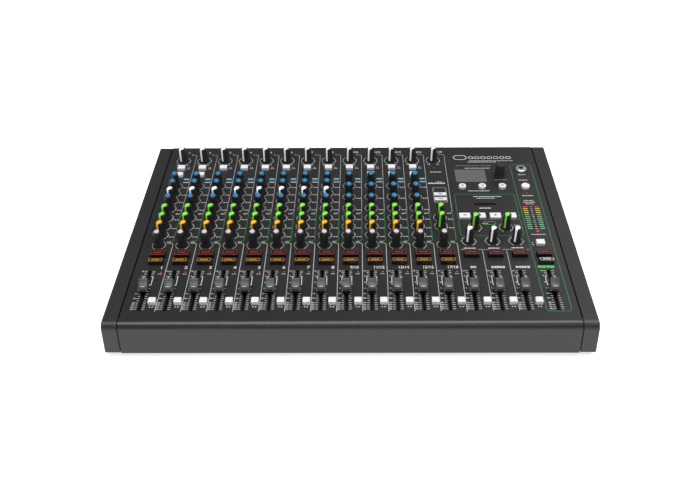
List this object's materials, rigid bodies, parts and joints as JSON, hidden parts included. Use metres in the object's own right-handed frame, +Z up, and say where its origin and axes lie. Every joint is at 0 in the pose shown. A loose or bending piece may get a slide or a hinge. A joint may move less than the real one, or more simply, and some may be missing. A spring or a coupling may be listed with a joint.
{
  "type": "mixing console",
  "caption": "Table-top audio mixing console with a sloping control surface of knobs, keys and sliding faders between two end cheeks, and a recessed rear socket panel.",
  "frame": {"origin": "centre of the footprint at the height of the table", "axes": "+X to the user's right, +Y away from the user towards the rear sockets, +Z up"},
  "size_m": [0.5, 0.3302, 0.1017],
  "materials": {
    "deck_paint": "fine textured charcoal powder coat",
    "panel_paint": "fine textured charcoal powder coat",
    "pan_paint": "black powder coat",
    "cheek_left": "fine textured dark grey moulding",
    "cheek_right": "fine textured dark grey moulding",
    "foot_rubber": "matt black",
    "screw_steel": "black zinc",
    "board_green": "green solder mask",
    "jack_board_green": "green solder mask",
    "pot_steel": "plain",
    "slide_steel": "plain",
    "switch_plastic": "black",
    "supply_case": "plain",
    "display_glass": "clear window over a lit grey picture panel",
    "card_slot": "black",
    "deck_jack_chrome": "bright",
    "meter_bars": "tinted light bars",
    "lamp_lenses": "tinted lens",
    "combo_plastic": "black",
    "line_jack_plastic": "black",
    "xlr_plastic": "black",
    "usb_steel": "bright",
    "inlet_plastic": "black",
    "rocker_plastic": "black",
    "knob_grey": "soft grey with a white pointer",
    "knob_blue": "grey with a blue pointer",
    "knob_green": "grey with a green pointer",
    "knob_pan": "light grey with a white pointer",
    "encoder_black": "black",
    "key_red": "dark translucent red",
    "key_amber": "dark translucent amber",
    "key_white": "white",
    "key_blue": "translucent blue",
    "key_mixed": "white",
    "gain_knob_ch1_slot": "soft grey with a white pointer",
    "treble_knob_ch1_slot": "grey with a blue pointer",
    "mid_knob_ch1_slot": "grey with a blue pointer",
    "mid_freq_knob_ch1_slot": "soft grey with a white pointer",
    "bass_knob_ch1_slot": "grey with a blue pointer",
    "mon1_knob_ch1_slot": "grey with a green pointer",
    "mon2_knob_ch1_slot": "grey with a green pointer",
    "fx_knob_ch1_slot": "grey with an amber pointer",
    "pan_knob_ch1_slot": "light grey with a white pointer",
    "fader_ch1_cap": "dark grey with a white line",
    "fader_ch2_cap": "dark grey with a white line",
    "fader_ch3_cap": "dark grey with a white line",
    "fader_ch4_cap": "dark grey with a white line",
    "fader_ch5_cap": "dark grey with a white line",
    "fader_ch6_cap": "dark grey with a white line",
    "fader_ch7_cap": "dark grey with a white line",
    "fader_ch8_cap": "dark grey with a white line",
    "fader_ch9_10_cap": "dark grey with a white line",
    "fader_ch11_12_cap": "dark grey with a white line",
    "fader_ch13_14_cap": "dark grey with a white line",
    "fader_ch15_16_cap": "dark grey with a white line",
    "fader_ch17_18_cap": "dark grey with a white line",
    "fader_fx_cap": "dark grey with a white line",
    "fader_mon1_cap": "dark grey with a white line",
    "fader_mon2_cap": "dark grey with a white line",
    "fader_main_cap": "dark grey with a white line"
  },
  "bodies": {
    "console": {"control_surface": "deck_paint", "left_cheek": "cheek_left", "right_cheek": "cheek_right", "bottom_pan": "pan_paint", "rear_panel": "panel_paint", "rubber_feet": "foot_rubber", "case_screws": "screw_steel", "control_board": "board_green", "jack_board": "jack_board_green", "rotary_pots": "pot_steel", "slide_pots": "slide_steel", "push_switches": "switch_plastic", "power_supply": "supply_case", "display_screen": "display_glass", "sd_card_slot": "card_slot", "deck_jacks": "deck_jack_chrome", "level_meter": "meter_bars", "status_leds": "lamp_lenses", "combo_jacks": "combo_plastic", "line_jacks": "line_jack_plastic", "xlr_outputs": "xlr_plastic", "usb_port": "usb_steel", "mains_inlet": "inlet_plastic", "gain_knobs": "knob_grey", "eq_knobs": "knob_blue", "send_knobs": "knob_green", "pan_knobs": "knob_pan"},
    "fader_ch1": {"fader_ch1": "fader_ch1_cap"},
    "fader_main": {"fader_main": "fader_main_cap"},
    "fader_fx": {"fader_fx": "fader_fx_cap"},
    "fader_mon1": {"fader_mon1": "fader_mon1_cap"},
    "gain_knob_ch1": {"gain_knob_ch1": "gain_knob_ch1_slot"},
    "treble_knob_ch1": {"treble_knob_ch1": "treble_knob_ch1_slot"},
    "mid_knob_ch1": {"mid_knob_ch1": "mid_knob_ch1_slot"},
    "mid_freq_knob_ch1": {"mid_freq_knob_ch1": "mid_freq_knob_ch1_slot"},
    "bass_knob_ch1": {"bass_knob_ch1": "bass_knob_ch1_slot"},
    "mon1_knob_ch1": {"mon1_knob_ch1": "mon1_knob_ch1_slot"},
    "mon2_knob_ch1": {"mon2_knob_ch1": "mon2_knob_ch1_slot"},
    "fx_knob_ch1": {"fx_knob_ch1": "fx_knob_ch1_slot"},
    "pan_knob_ch1": {"pan_knob_ch1": "pan_knob_ch1_slot"},
    "encoder_knob": {"encoder_knob": "encoder_black"},
    "power_rocker": {"power_rocker": "rocker_plastic"},
    "mute_buttons": {"mute_buttons": "key_red"},
    "solo_buttons": {"solo_buttons": "key_amber"},
    "strip_buttons": {"strip_buttons": "key_white"},
    "eq_buttons": {"eq_buttons": "key_blue"},
    "master_buttons": {"master_buttons": "key_mixed"},
    "fader_ch2": {"fader_ch2": "fader_ch2_cap"},
    "fader_ch3": {"fader_ch3": "fader_ch3_cap"},
    "fader_ch4": {"fader_ch4": "fader_ch4_cap"},
    "fader_ch5": {"fader_ch5": "fader_ch5_cap"},
    "fader_ch6": {"fader_ch6": "fader_ch6_cap"},
    "fader_ch7": {"fader_ch7": "fader_ch7_cap"},
    "fader_ch8": {"fader_ch8": "fader_ch8_cap"},
    "fader_ch9_10": {"fader_ch9_10": "fader_ch9_10_cap"},
    "fader_ch11_12": {"fader_ch11_12": "fader_ch11_12_cap"},
    "fader_ch13_14": {"fader_ch13_14": "fader_ch13_14_cap"},
    "fader_ch15_16": {"fader_ch15_16": "fader_ch15_16_cap"},
    "fader_ch17_18": {"fader_ch17_18": "fader_ch17_18_cap"},
    "fader_mon2": {"fader_mon2": "fader_mon2_cap"}
  },
  "joints": [
    {"name": "fader_ch1_slide", "type": "slide", "parent": "console", "child": "fader_ch1", "axis": [0, 0.9903, 0.1392], "range_m": [-0.02955, 0.03045]},
    {"name": "fader_main_slide", "type": "slide", "parent": "console", "child": "fader_main", "axis": [0, 0.9903, 0.1392], "range_m": [-0.02955, 0.03045]},
    {"name": "fader_fx_slide", "type": "slide", "parent": "console", "child": "fader_fx", "axis": [0, 0.9903, 0.1392], "range_m": [-0.02955, 0.03045]},
    {"name": "fader_mon1_slide", "type": "slide", "parent": "console", "child": "fader_mon1", "axis": [0, 0.9903, 0.1392], "range_m": [-0.02955, 0.03045]},
    {"name": "gain_ch1_turn", "type": "hinge", "parent": "console", "child": "gain_knob_ch1", "pos_m": [-0.2143, 0.13388, 0.08199], "axis": [0, 0.1392, -0.9903], "range_deg": [0, 300]},
    {"name": "treble_ch1_turn", "type": "hinge", "parent": "console", "child": "treble_knob_ch1", "pos_m": [-0.2143, 0.07743, 0.07405], "axis": [0, 0.1392, -0.9903], "range_deg": [-150, 150]},
    {"name": "mid_ch1_turn", "type": "hinge", "parent": "console", "child": "mid_knob_ch1", "pos_m": [-0.2143, 0.06208, 0.0719], "axis": [0, 0.1392, -0.9903], "range_deg": [-150, 150]},
    {"name": "mid_freq_ch1_turn", "type": "hinge", "parent": "console", "child": "mid_freq_knob_ch1", "pos_m": [-0.2143, 0.04673, 0.06974], "axis": [0, 0.1392, -0.9903], "range_deg": [0, 300]},
    {"name": "bass_ch1_turn", "type": "hinge", "parent": "console", "child": "bass_knob_ch1", "pos_m": [-0.2143, 0.03139, 0.06758], "axis": [0, 0.1392, -0.9903], "range_deg": [-150, 150]},
    {"name": "mon1_ch1_turn", "type": "hinge", "parent": "console", "child": "mon1_knob_ch1", "pos_m": [-0.2143, 0.01257, 0.06494], "axis": [0, 0.1392, -0.9903], "range_deg": [0, 300]},
    {"name": "mon2_ch1_turn", "type": "hinge", "parent": "console", "child": "mon2_knob_ch1", "pos_m": [-0.2143, -0.00377, 0.06264], "axis": [0, 0.1392, -0.9903], "range_deg": [0, 300]},
    {"name": "fx_ch1_turn", "type": "hinge", "parent": "console", "child": "fx_knob_ch1", "pos_m": [-0.2143, -0.01961, 0.06042], "axis": [0, 0.1392, -0.9903], "range_deg": [0, 300]},
    {"name": "pan_ch1_turn", "type": "hinge", "parent": "console", "child": "pan_knob_ch1", "pos_m": [-0.2143, -0.03764, 0.05788], "axis": [0, 0.1392, -0.9903], "range_deg": [-150, 150]},
    {"name": "encoder_turn", "type": "hinge", "parent": "console", "child": "encoder_knob", "pos_m": [0.184, 0.09872, 0.07705], "axis": [0, 0.1392, -0.9903], "continuous": true},
    {"name": "power_rocker_tip", "type": "hinge", "parent": "console", "child": "power_rocker", "pos_m": [0.214, 0.15307, 0.057], "axis": [0, 0, 1], "range_deg": [0, 16]},
    {"name": "mute_buttons_press", "type": "slide", "parent": "console", "child": "mute_buttons", "axis": [0, 0.1392, -0.9903], "range_m": [0, 0.0015], "stiffness_N_per_m": 1500},
    {"name": "solo_buttons_press", "type": "slide", "parent": "console", "child": "solo_buttons", "axis": [0, 0.1392, -0.9903], "range_m": [0, 0.0015], "stiffness_N_per_m": 1500},
    {"name": "strip_buttons_press", "type": "slide", "parent": "console", "child": "strip_buttons", "axis": [0, 0.1392, -0.9903], "range_m": [0, 0.0015], "stiffness_N_per_m": 1500},
    {"name": "eq_buttons_press", "type": "slide", "parent": "console", "child": "eq_buttons", "axis": [0, 0.1392, -0.9903], "range_m": [0, 0.0008], "stiffness_N_per_m": 1500},
    {"name": "master_buttons_press", "type": "slide", "parent": "console", "child": "master_buttons", "axis": [0, 0.1392, -0.9903], "range_m": [0, 0.0012], "stiffness_N_per_m": 1500},
    {"name": "fader_ch2_slide", "type": "slide", "parent": "console", "child": "fader_ch2", "axis": [0, 0.9903, 0.1392], "range_m": [-0.02955, 0.03045]},
    {"name": "fader_ch3_slide", "type": "slide", "parent": "console", "child": "fader_ch3", "axis": [0, 0.9903, 0.1392], "range_m": [-0.02955, 0.03045]},
    {"name": "fader_ch4_slide", "type": "slide", "parent": "console", "child": "fader_ch4", "axis": [0, 0.9903, 0.1392], "range_m": [-0.02955, 0.03045]},
    {"name": "fader_ch5_slide", "type": "slide", "parent": "console", "child": "fader_ch5", "axis": [0, 0.9903, 0.1392], "range_m": [-0.02955, 0.03045]},
    {"name": "fader_ch6_slide", "type": "slide", "parent": "console", "child": "fader_ch6", "axis": [0, 0.9903, 0.1392], "range_m": [-0.02955, 0.03045]},
    {"name": "fader_ch7_slide", "type": "slide", "parent": "console", "child": "fader_ch7", "axis": [0, 0.9903, 0.1392], "range_m": [-0.02955, 0.03045]},
    {"name": "fader_ch8_slide", "type": "slide", "parent": "console", "child": "fader_ch8", "axis": [0, 0.9903, 0.1392], "range_m": [-0.02955, 0.03045]},
    {"name": "fader_ch9_10_slide", "type": "slide", "parent": "console", "child": "fader_ch9_10", "axis": [0, 0.9903, 0.1392], "range_m": [-0.02955, 0.03045]},
    {"name": "fader_ch11_12_slide", "type": "slide", "parent": "console", "child": "fader_ch11_12", "axis": [0, 0.9903, 0.1392], "range_m": [-0.02955, 0.03045]},
    {"name": "fader_ch13_14_slide", "type": "slide", "parent": "console", "child": "fader_ch13_14", "axis": [0, 0.9903, 0.1392], "range_m": [-0.02955, 0.03045]},
    {"name": "fader_ch15_16_slide", "type": "slide", "parent": "console", "child": "fader_ch15_16", "axis": [0, 0.9903, 0.1392], "range_m": [-0.02955, 0.03045]},
    {"name": "fader_ch17_18_slide", "type": "slide", "parent": "console", "child": "fader_ch17_18", "axis": [0, 0.9903, 0.1392], "range_m": [-0.02955, 0.03045]},
    {"name": "fader_mon2_slide", "type": "slide", "parent": "console", "child": "fader_mon2", "axis": [0, 0.9903, 0.1392], "range_m": [-0.02955, 0.03045]}
  ]
}
